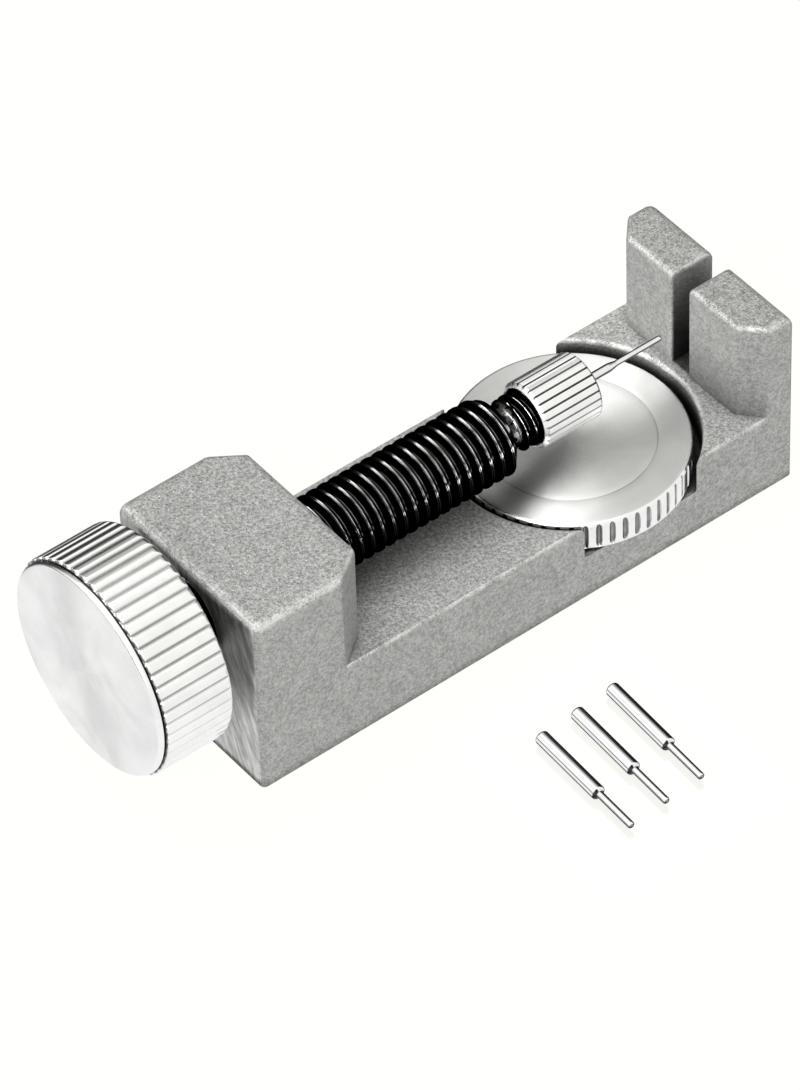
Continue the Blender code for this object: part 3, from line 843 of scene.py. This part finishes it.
# ------------------------------------------------------------------------------------------ screw
# share of the pitch, radius: a crest with two raised lips
LIPPED_TOOTH = [
    (0.0, 3.285), (0.05, 3.255), (0.11, 3.255), (0.16, 3.285), (0.31, 3.63), (0.445, 3.94),
    (0.462, 3.975), (0.485, 3.99), (0.515, 3.965), (0.55, 3.925), (0.60, 3.925), (0.635, 3.965),
    (0.665, 3.99), (0.688, 3.975), (0.705, 3.94), (0.845, 3.63)]
LIP_RADIUS = 3.99  # scaled up to the crest
# share of the pitch, radius: the finer thread of the stub that holds the tip holder
STUB_TOOTH = [
    (0.0, 2.17), (0.06, 2.15), (0.16, 2.15), (0.22, 2.17), (0.42, 2.62), (0.455, 2.7),
    (0.50, 2.74), (0.56, 2.75), (0.62, 2.74), (0.665, 2.7), (0.70, 2.62)]


def make_screw():
    """Shank, lipped main thread, neck and threaded stub, from -X to +X."""
    tooth = [(share, r if r < 3.3 else r * CREST / LIP_RADIUS) for share, r in LIPPED_TOOTH]
    thread_start = KNOB_HI[0] + 0.3
    thread_end_radius = 2.75
    neck_radius, neck_end = 2.08, SCREW_END + 0.8
    stub_end, stub_end_radius, stub_pitch = SCREW_HI[0], 1.9, 1.0
    columns = 128

    def main_blank(x):
        return min(SHANK_RADIUS + (x - thread_start) * 1.0,
                   thread_end_radius + (SCREW_END - x) * 1.5, 9.0)

    def stub_blank(x):
        return min(neck_radius + (x - neck_end) * 1.4,
                   stub_end_radius + (stub_end - x) * 1.0, 9.0)

    shank = [(SCREW_START, 0), (SCREW_START, SHANK_RADIUS - 0.3),
             (SCREW_START + 0.3, SHANK_RADIUS), (thread_start, SHANK_RADIUS)]
    neck = [(SCREW_END, thread_end_radius), (SCREW_END, neck_radius + 0.18),
            (SCREW_END + 0.05, neck_radius + 0.05), (SCREW_END + 0.18, neck_radius),
            (neck_end, neck_radius)]
    screw = joined(
        "drive_screw_body",
        [ring_shell(shank, columns),
         helix_shell(thread_start, SCREW_END, PITCH, tooth, SCREW_END, main_blank, columns),
         ring_shell(neck, columns),
         helix_shell(neck_end, stub_end, stub_pitch, STUB_TOOTH, neck_end - 0.35, stub_blank,
                     columns),
         ring_shell([(stub_end, stub_end_radius), (stub_end, 0)], columns)],
        centre=SCREW_AXIS)
    smooth_shade(screw, 48)
    dress(screw, oxide_material(), "screw", "drive_screw")
    return screw


# ------------------------------------------------------------------------------------------- knob
KNOB_RADIUS, RIM_RADIUS, KNOB_RIBS = KNOB_HI[1], 10.7, 52
RIB_CROWN, RIB_DEPTH = 0.10, 0.4  # drop from a rib's middle to its shoulders, and to the groove
KNOB_OUTER, KNOB_INNER = KNOB_LO[0], KNOB_HI[0]  # x of the free face and of the casting side
KNOB_SHARES = [0, 0.035, 0.08, 0.13, 0.18, 0.24, 0.32, 0.41,
               0.5, 0.59, 0.68, 0.76, 0.82, 0.87, 0.92, 0.965]


def ease(t):
    t = min(max(t, 0.0), 1.0)
    return t * t * (3 - 2 * t)


def knob_profile(s, r, angle):
    """Rounded ribs with narrow grooves between them; they begin as rounded tongues behind the
    smooth rim."""
    from_middle = abs(2 * ((angle * KNOB_RIBS / TAU) % 1.0) - 1)  # 1 in the middle of a groove
    drop = (RIB_CROWN * from_middle * from_middle
            + (RIB_DEPTH - RIB_CROWN) * max(0.0, (from_middle - 0.56) / 0.44) ** 1.25)
    rib = KNOB_RADIUS - drop
    cut = max(0.0, (from_middle - 0.62) / 0.38) ** 1.3
    if s < KNOB_OUTER + 0.74:
        return r, 0.0, ease((s - KNOB_OUTER - 0.64) / 0.1)
    tongue = ease((s - KNOB_OUTER - 0.80 - 0.2 * from_middle * from_middle) / 0.26)
    body = r + (rib - RIM_RADIUS) * tongue if s < KNOB_OUTER + 2 else rib
    if s > KNOB_INNER - 0.75 and rib > r:
        body = r
        # painted shade: dark dashes where the grooves end at the inner edge
        at_edge = KNOB_INNER - 0.5 < s < KNOB_INNER - 0.2
        cut = 1.0 if from_middle > 0.82 and at_edge else 0.0
    return body, cut * tongue, 1 - tongue


def knob_stations():
    outer, inner, rim = KNOB_OUTER, KNOB_INNER, RIM_RADIUS
    bore = SHANK_RADIUS + 0.03
    edge = 0.62  # radius of the inner edge
    # the slightly domed free face
    stations = [(outer, 0)]
    stations += [(outer + 0.14 * (r / 9.9) ** 2, r)
                 for r in (0.5, 1.2, 2, 3.2, 4.5, 5.8, 7, 8, 9, 9.6, 9.9)]
    stations += [(outer + 0.15, 10.1), (outer + 0.165, 10.25)]
    # the rounded rim and the gap behind it
    stations += [(outer + 0.17 + 0.46 - 0.46 * math.sin(t), rim - 0.4 + 0.4 * math.cos(t))
                 for t in arc(80, -10, 9)]
    stations += [(outer + 0.69, rim - 0.01), (outer + 0.73, rim - 0.06),
                 (outer + 0.77, rim - 0.17), (outer + 0.82, rim - 0.18),
                 (outer + 0.85, rim - 0.1)]
    # the ribs
    stations += [(outer + 0.80 + 0.035 * i, rim) for i in range(2, 16)]
    stations += [(s, rim) for s in (outer + 2.0, outer + 3.5, outer + 5.5,
                                    inner - 1.2, inner - 0.76)]
    # the inner edge, then the inner face with a shallow ring groove, and the bore
    stations += [(inner - 0.72, KNOB_RADIUS + 0.3)]
    stations += [(inner - edge + edge * math.sin(t), KNOB_RADIUS - edge + edge * math.cos(t))
                 for t in arc(9, 9, 9)]
    stations += [(inner, KNOB_RADIUS - 0.75), (inner, 9.0), (inner, 7.2), (inner - 0.25, 6.9),
                 (inner - 0.25, 4.6), (inner, 4.3), (inner, SHANK_RADIUS + 0.25),
                 (inner - 0.2, bore), (SCREW_START - 0.1, bore), (SCREW_START - 0.1, 0)]
    return stations


def make_knob():
    knob = lathe("knob_body", knob_stations(), rib_angles(KNOB_RIBS, KNOB_SHARES), knob_profile,
                 centre=SCREW_AXIS)
    smooth_shade(knob, 40)
    material = turned_metal("knob_aluminium", SCREW_AXIS, "X", tone=0.97, anisotropy=0.8,
                            side_roughness=0.2, face_roughness=0.36, groove_shade_tones=(0.74, 0.10),
                            cloud=0.12)
    dress(knob, material, "screw", "drive_knob")


# ----------------------------------------------------------------------------------------- holder
HOLD_RADIUS, HOLD_GROOVES, HOLD_GROOVE_DEPTH = 3.4, 26, 0.22
HOLD_START, HOLD_END = HOLD_LO[0], HOLD_HI[0]
HOLD_SHARES = [0, 0.03, 0.06, 0.09, 0.115, 0.14, 0.24, 0.37,
               0.5, 0.63, 0.76, 0.86, 0.885, 0.91, 0.94, 0.97]


def holder_profile(s, r, angle):
    """Wide flat lands with narrow V grooves, which run out through the chamfers."""
    if r < HOLD_RADIUS - 0.5:
        return r, 0.0, 0.0
    share = (angle * HOLD_GROOVES / TAU) % 1.0
    from_groove = min(share, 1 - share)
    depth = max(0.0, 1 - from_groove / 0.115)
    land = HOLD_RADIUS - 0.012 * (abs(2 * share - 1) ** 2) - HOLD_GROOVE_DEPTH * depth
    # painted shade: short dark dashes where the grooves run out at the -X end, and a dark ring at
    # the +X end
    dash = 1.0 if HOLD_START + 0.2 < s < HOLD_START + 0.42 and from_groove < 0.16 else 0.0
    ring = 1.0 if s > HOLD_END - 0.3 and r > HOLD_RADIUS - 0.32 else 0.0
    groove = 1.0 if from_groove < 0.12 and land < r + 0.06 else 0.0
    return min(r, land), max(groove, dash), ring


def make_holder():
    start, end, radius = HOLD_START, HOLD_END, HOLD_RADIUS
    bore, pin_hole = 2.86, 0.5
    blank = radius + 0.05  # the profile trims it to the lands
    # x, radius: from the bore's floor through the pin hole, over the outside and back
    stations = [
        (end - 1.1, bore - 0.1), (end - 1.1, pin_hole), (end - 0.12, pin_hole), (end, 0.62),
        (end, 1.5), (end, 2.6), (end, radius - 0.3), (end - 0.06, radius - 0.2),
        (end - 0.14, radius - 0.1), (end - 0.24, radius), (end - 0.34, blank),
        (end - 2.2, blank), (start + 2.2, blank), (start + 0.44, blank),
        (start + 0.40, radius + 0.02), (start + 0.34, radius - 0.03),
        (start + 0.26, radius - 0.10), (start + 0.16, radius - 0.18),
        (start + 0.07, radius - 0.24), (start, radius - 0.32), (start, bore + 0.12),
        (start + 0.12, bore), (end - 1.3, bore), (end - 1.1, bore - 0.1)]
    holder = lathe("tip_holder_body", stations, rib_angles(HOLD_GROOVES, HOLD_SHARES),
                   holder_profile, centre=SCREW_AXIS)
    smooth_shade(holder, 32)
    material = turned_metal("holder_aluminium", SCREW_AXIS, "X", tone=0.92, anisotropy=0.5,
                            side_roughness=0.24, face_roughness=0.3, groove_shade_tones=(0.55, 0.04))
    dress(holder, material, "holder", "tip_holder")
    return holder


# -------------------------------------------------------------------------------------- drive pin
PIN_ANGLES = even_angles(64)


def make_drive_pin():
    head, tip = PIN_LO[0], PIN_HI[0]
    body, thin = 0.43, 0.28  # radii
    shoulder = 18.0
    # x, radius: head, body, sloping shoulder, thin tip
    stations = [
        (head, 0), (head, 1.05), (head + 0.05, 1.14), (head + 0.15, 1.2), (head + 0.9, 1.2),
        (head + 1.2, 0.6), (head + 1.25, body), (head + 1.35, body), (shoulder - 0.7, body),
        (shoulder - 0.6, body), (shoulder - 0.42, body - 0.01), (shoulder - 0.25, body - 0.05),
        (shoulder, (body + thin) / 2), (shoulder + 0.2, thin + 0.02), (shoulder + 0.4, thin),
        (shoulder + 0.5, thin), (tip - 0.35, thin), (tip - 0.25, thin),
        (tip - 0.14, thin - 0.02), (tip - 0.05, thin - 0.07), (tip, thin - 0.15), (tip, 0)]
    pin = lathe("drive_pin_body", stations, PIN_ANGLES, lambda s, r, angle: (r, 1.0, 0.0),
                centre=SCREW_AXIS)
    smooth_shade(pin, 40)
    material = steel_material("pin_steel", tone=0.86, roughness=(0.05, 0.12), card_top=0.62)
    dress(pin, material, "pin", "drive_pin")


# ------------------------------------------------------------------------------------ height disc
DISC_RADIUS, DISC_SLOTS, DISC_SLOT_DEPTH = 11.45, 56, 0.34
DISC_BOTTOM, DISC_TOP = DISC_LO[2], DISC_HI[2]
DISC_LINE = 8.1  # radius of the fine ring groove on the top
DISC_SHARES = [0, 0.045, 0.09, 0.13, 0.165, 0.195, 0.215, 0.235, 0.27, 0.36,
               0.5, 0.64, 0.73, 0.765, 0.785, 0.805, 0.835, 0.87, 0.91, 0.955]


def disc_profile(s, r, angle):
    """Slots in the rim, rounded at both ends, with plain bands above and below them."""
    share = ((angle * DISC_SLOTS / TAU + 0.5) % 1.0) - 0.5
    middle = (DISC_BOTTOM + 0.16 + DISC_TOP - 0.08) / 2
    half = (DISC_TOP - 0.08 - DISC_BOTTOM - 0.16) / 2
    inside = 1 - (abs(share) / 0.23) ** 2 - (abs(s - middle) / half) ** 6
    if r < DISC_RADIUS - 0.45 or inside <= 0:
        return r, 0.0, 0.0
    lower = ease((middle - 0.35 * half - s) / (0.6 * half))  # the slots are darker toward their lower ends
    radius = min(r, DISC_RADIUS - DISC_SLOT_DEPTH * min(1.0, inside) ** 0.7)
    return radius, min(1.0, inside * 2.2) * (0.62 + 0.38 * lower), 0.0


def crown(z):
    """Radius of the disc's slightly barrelled rim."""
    middle, half = (DISC_BOTTOM + DISC_TOP) / 2, (DISC_TOP - DISC_BOTTOM) / 2
    return DISC_RADIUS - 0.045 * ((z - middle) / half) ** 2


def make_disc():
    bottom, top, rim = DISC_BOTTOM, DISC_TOP, crown(DISC_BOTTOM)
    seat, seat_top = 2.2, STUD_HI[2] + 0.05  # the stud's blind hole
    band_low, band_high, band_steps = bottom + 0.12, top - 0.34, 26
    stations = [(top, r) for r in (0, 1.5, 3, 4.5, 6, 7.2, DISC_LINE - 0.08)]
    stations += [(top - 0.012, DISC_LINE)]
    stations += [(top, r) for r in (DISC_LINE + 0.08, 9.0, 9.8, DISC_RADIUS - 0.5)]
    stations += [(top - 0.32 + 0.32 * math.cos(t), DISC_RADIUS - 0.42 + 0.32 * math.sin(t))
                 for t in arc(15, 15, 5)]
    for i in range(band_steps + 1):
        z = band_high + (band_low - band_high) * i / band_steps
        stations.append((z, crown(z)))
    stations += [(bottom + 0.05, rim - 0.04), (bottom, rim - 0.14), (bottom, 10.5), (bottom, 8),
                 (bottom, 5), (bottom, seat + 0.15), (bottom + 0.15, seat), (seat_top, seat),
                 (seat_top, 0)]
    disc = lathe("height_disc_body", stations, rib_angles(DISC_SLOTS, DISC_SHARES), disc_profile,
                 axis="Z", centre=DISC_AXIS)
    smooth_shade(disc, 40)
    material = turned_metal("disc_aluminium", DISC_AXIS, "Z", tone=0.95, anisotropy=0.70,
                            side_roughness=0.22, face_roughness=0.4, groove_shade_tones=(0.14, 0.1),
                            line_radius=DISC_LINE, shade_radius=10.8)
    dress(disc, material, "disc", "height_disc")


# ------------------------------------------------------------------------------------------- stud
def make_stud():
    """The disc's stud: threaded below, plain where it enters the disc."""
    bottom, top, pitch, columns = STUD_LO[2], STUD_HI[2], 0.8, 96
    end_radius, plain = 1.8, 1.92
    thread_top = DISC_BOTTOM - 0.35
    # share of the pitch, radius
    tooth = [(0.0, 2.02), (0.06, 2.0), (0.2, 2.0), (0.26, 2.02), (0.5, 2.38), (0.56, 2.44),
             (0.63, 2.45), (0.7, 2.44), (0.76, 2.38)]

    def blank(z):
        return min(end_radius + (z - bottom) * 1.0, plain + (thread_top - z) * 1.0, 9.0)

    stud = joined(
        "height_stud_body",
        [ring_shell([(bottom, 0), (bottom, end_radius)], columns),
         helix_shell(bottom, thread_top, pitch, tooth, bottom, blank, columns),
         ring_shell([(thread_top, plain), (top - 0.2, plain), (top, plain - 0.2), (top, 0)],
                    columns)],
        axis="Z", centre=DISC_AXIS)
    smooth_shade(stud, 48)
    material = steel_material("stud_steel", tone=0.6, roughness=(0.2, 0.36), axis="Z")
    dress(stud, material, "stud", "height_stud")


# ------------------------------------------------------------------------------------- spare pins
SPARE_RADIUS, SPARE_TIP_RADIUS = 0.71, 0.355
SPARE_BODY, SPARE_TIP = 8.7, 4.9  # lengths of the thick and of the thin part
SPARE_DIRECTIONS = (-92.4, -92.6, -92.8)  # degrees about Z from +X, toward the thin end


def spare_profile(s, r, angle):
    """Marks the thin part, and a dark corner of painted shade at the shoulder on one side."""
    at_shoulder = SPARE_BODY - 0.08 < s < SPARE_BODY + 0.1
    corner = at_shoulder and math.cos(angle) < -0.2 and -0.35 < math.sin(angle) < 0.97
    return r, 1.0 if s > SPARE_BODY + 0.05 else 0.0, 1.0 if corner else 0.0


def make_spares():
    material = steel_material("spare_steel", tone=0.93, roughness=(0.02, 0.06), card_top=0.66)
    thick, thin, body = SPARE_RADIUS, SPARE_TIP_RADIUS, SPARE_BODY
    end = body + SPARE_TIP
    # place along the pin, radius
    stations = [
        (0, 0), (0, thick - 0.2), (0.03, thick - 0.12), (0.09, thick - 0.04), (0.18, thick),
        (0.24, thick), (body - 0.18, thick), (body - 0.12, thick), (body - 0.05, thick - 0.03),
        (body, thick - 0.12), (body + 0.02, thin + 0.06), (body + 0.08, thin),
        (body + 0.14, thin), (end - 0.22, thin), (end - 0.16, thin), (end - 0.07, thin - 0.03),
        (end - 0.02, thin - 0.09), (end, thin - 0.18), (end, 0)]
    for i, degrees in enumerate(SPARE_DIRECTIONS, start=1):
        node = f"spare_pin_{i}"
        high = box_mm(node)[1]
        spare = lathe(f"{node}_body", stations, PIN_ANGLES, spare_profile)
        # the centre of the thick end, at the back, from the node's box
        direction = math.radians(degrees)
        x = high[0] - thick * abs(math.sin(direction))
        y = high[1] - thick * abs(math.cos(direction))
        spare.data.transform(Matrix.Translation((x * MM, y * MM, thick * MM))
                             @ Matrix.Rotation(direction, 4, "Z"))
        smooth_shade(spare, 40)
        dress(spare, material, f"spare_{i}", node)


make_casting()
screw = make_screw()
make_knob()
holder = make_holder()
make_drive_pin()
make_disc()
make_stud()
make_spares()

# ---------------------------------------------------------------------------------- world, floor
scene = bpy.context.scene
scene.view_settings.view_transform = "Standard"
scene.view_settings.look = "None"


def make_world():
    """White to the camera, the studio to mirrors, an even light to everything else."""
    world = bpy.data.worlds.new("studio")
    scene.world = world
    n = cleared_nodes(world)
    look = n.studio(n.output("ShaderNodeTexCoord", socket="Generated"))
    glossy, camera_ray = n.outputs("ShaderNodeLightPath", ("Is Glossy Ray", "Is Camera Ray"))
    light = camera_ray.mix(glossy.mix(0.72, look), 1.0)
    background = n.output("ShaderNodeBackground", {"Color": n.tinted(light, (1.0, 1.0, 0.965))})
    n.surface(background, "ShaderNodeOutputWorld")


def floor_material():
    """A pale glowing floor, glossier around the spare pins, where it shows a faint mirror image
    of them. Mirrors see the studio instead of it."""
    mirror_share = 0.28  # how much of a mirror the floor is around the spare pins
    glow_strength = 0.965  # what the floor gives off toward the camera
    lit_share = 0.07  # what the lights are taken to add to it
    material, n = new_material("pale_floor")
    incoming = n.output("ShaderNodeNewGeometry", socket="Incoming")
    camera_ray, glossy, ray_length = n.outputs(
        "ShaderNodeLightPath", ("Is Camera Ray", "Is Glossy Ray", "Ray Length"))
    # a mirror closer to the floor than this, in metres, sees its own shade
    contact = ray_length.ramp(0.0008, 0.0016, out=(0.06, 1.0))
    seen = n.emission(n.studio(n.opposite(incoming)) * contact)

    grain = n.noise(n.millimetres(), scale=0.05)
    lit = grain.blend((0.365, 0.365, 0.352), (0.378, 0.378, 0.365))
    diffuse = n.output("ShaderNodeBsdfDiffuse",
                       {"Color": camera_ray.blend(lit, (0.05, 0.05, 0.048))})
    spares = [box_mm(f"spare_pin_{i}") for i in (1, 2, 3)]
    spot = n.separate(n.millimetres())
    patch = 1.0
    for k in (0, 1):
        low, high = min(box[0][k] for box in spares), max(box[1][k] for box in spares)
        inside = spot[k].ramp(low - 7, low - 3) * spot[k].ramp(high + 6, high + 2)
        patch = patch * inside
    # what the mirror image of the grey wall takes from the floor there is given back, so that
    # the floor stays even
    evened = ((glow_strength + lit_share - mirror_share * GREY_WALL) / (1 - mirror_share)
              - lit_share)
    glow = n.output("ShaderNodeEmission", {
        "Color": (1.0, 1.0, 0.960, 1),
        "Strength": camera_ray.mix(0.66, patch.mix(glow_strength, evened))})
    both = n.output("ShaderNodeAddShader", {0: diffuse, 1: glow})
    gloss = n.output("ShaderNodeBsdfGlossy", {"Roughness": 0.14, "Color": (1.0, 1.0, 0.96, 1)})
    sheen = n.mix_shader(patch * mirror_share, both, gloss)
    n.surface(n.mix_shader(glossy, sheen, seen))
    return material


def make_floor():
    mesh = bpy.data.meshes.new("floor")
    bm = bmesh.new()
    bmesh.ops.create_circle(bm, cap_ends=True, radius=6.0, segments=96)
    bm.to_mesh(mesh)
    bm.free()
    floor = new_object("floor", mesh)
    floor.location = (0, 0, -0.00004)  # just below the pieces that stand on it
    mesh.materials.append(floor_material())


# -------------------------------------------------------------------------- lights, camera (metres)
def softbox(name, direction, distance, size, power, target=(0, 0, 0.008), receiver=None):
    """An area light that faces its target from a direction. With a receiver it lights only that
    piece, and its width lies along X."""
    data = bpy.data.lights.new(name, "AREA")
    data.shape = "RECTANGLE"
    data.size, data.size_y = size
    data.energy = power
    light = bpy.data.objects.new(name, data)
    scene.collection.objects.link(light)
    toward = Vector(direction).normalized()
    light.location = Vector(target) + toward * distance
    side = Vector((1, 0, 0))
    if receiver:
        across = (side - toward * side.dot(toward)).normalized()
    else:
        across = toward.to_track_quat("Z", "Y") @ side
    light.rotation_euler = Matrix((across, toward.cross(across), toward)).transposed().to_euler()
    light.visible_camera = False
    if receiver:
        group = bpy.data.collections.new(f"{name}_receivers")
        group.objects.link(receiver)
        light.light_linking.receiver_collection = group


def make_lights():
    softbox("overhead", direction=(-0.22, 0.25, 0.95), distance=0.55, size=(0.34, 0.34), power=1.5)
    softbox("front_left", direction=(-0.75, -0.55, 0.55), distance=0.6, size=(0.30, 0.30),
            power=1.6)
    # strips in an arc across the tool, which draw the thin broken lines along the crests of the
    # black thread: name, degrees from overhead to the front, length across, power
    for name, degrees, length, power in (("strip_back", -20, 0.50, 105),
                                         ("strip_over", 37, 0.46, 185),
                                         ("strip_front", 79, 0.14, 30)):
        tilt = math.radians(degrees)
        softbox(name, direction=(-0.34, -math.sin(tilt), math.cos(tilt)), distance=0.5,
                size=(0.18, length), power=power, receiver=screw)
    softbox("strip_low", direction=(0.1, -0.96, -0.22), distance=0.048, size=(0.07, 0.007),
            power=0.40, target=(-0.006, 0, 0.0142), receiver=screw)
    softbox("holder_fill", direction=(0.42, 0.86, 0.36), distance=0.5, size=(0.42, 0.42),
            power=0.45, receiver=holder)


def make_camera():
    # the camera's own axes; it looks against the last one
    right = (0.78476448, -0.61925049, -0.02595263)
    up = (0.45977125, 0.55355753, 0.69439504)
    back = (-0.41563819, -0.55686883, 0.71912586)
    data = bpy.data.cameras.new("camera")
    data.sensor_width = 36.0
    data.lens = 246.028293578
    data.clip_start, data.clip_end = 0.01, 50.0
    camera = bpy.data.objects.new("camera", data)
    scene.collection.objects.link(camera)
    place = Matrix((right, up, back)).transposed().to_4x4()
    place.translation = (-0.28913502555, -0.37783044583, 0.4956321218)
    camera.matrix_world = place
    scene.camera = camera


make_world()
make_floor()
make_lights()
make_camera()
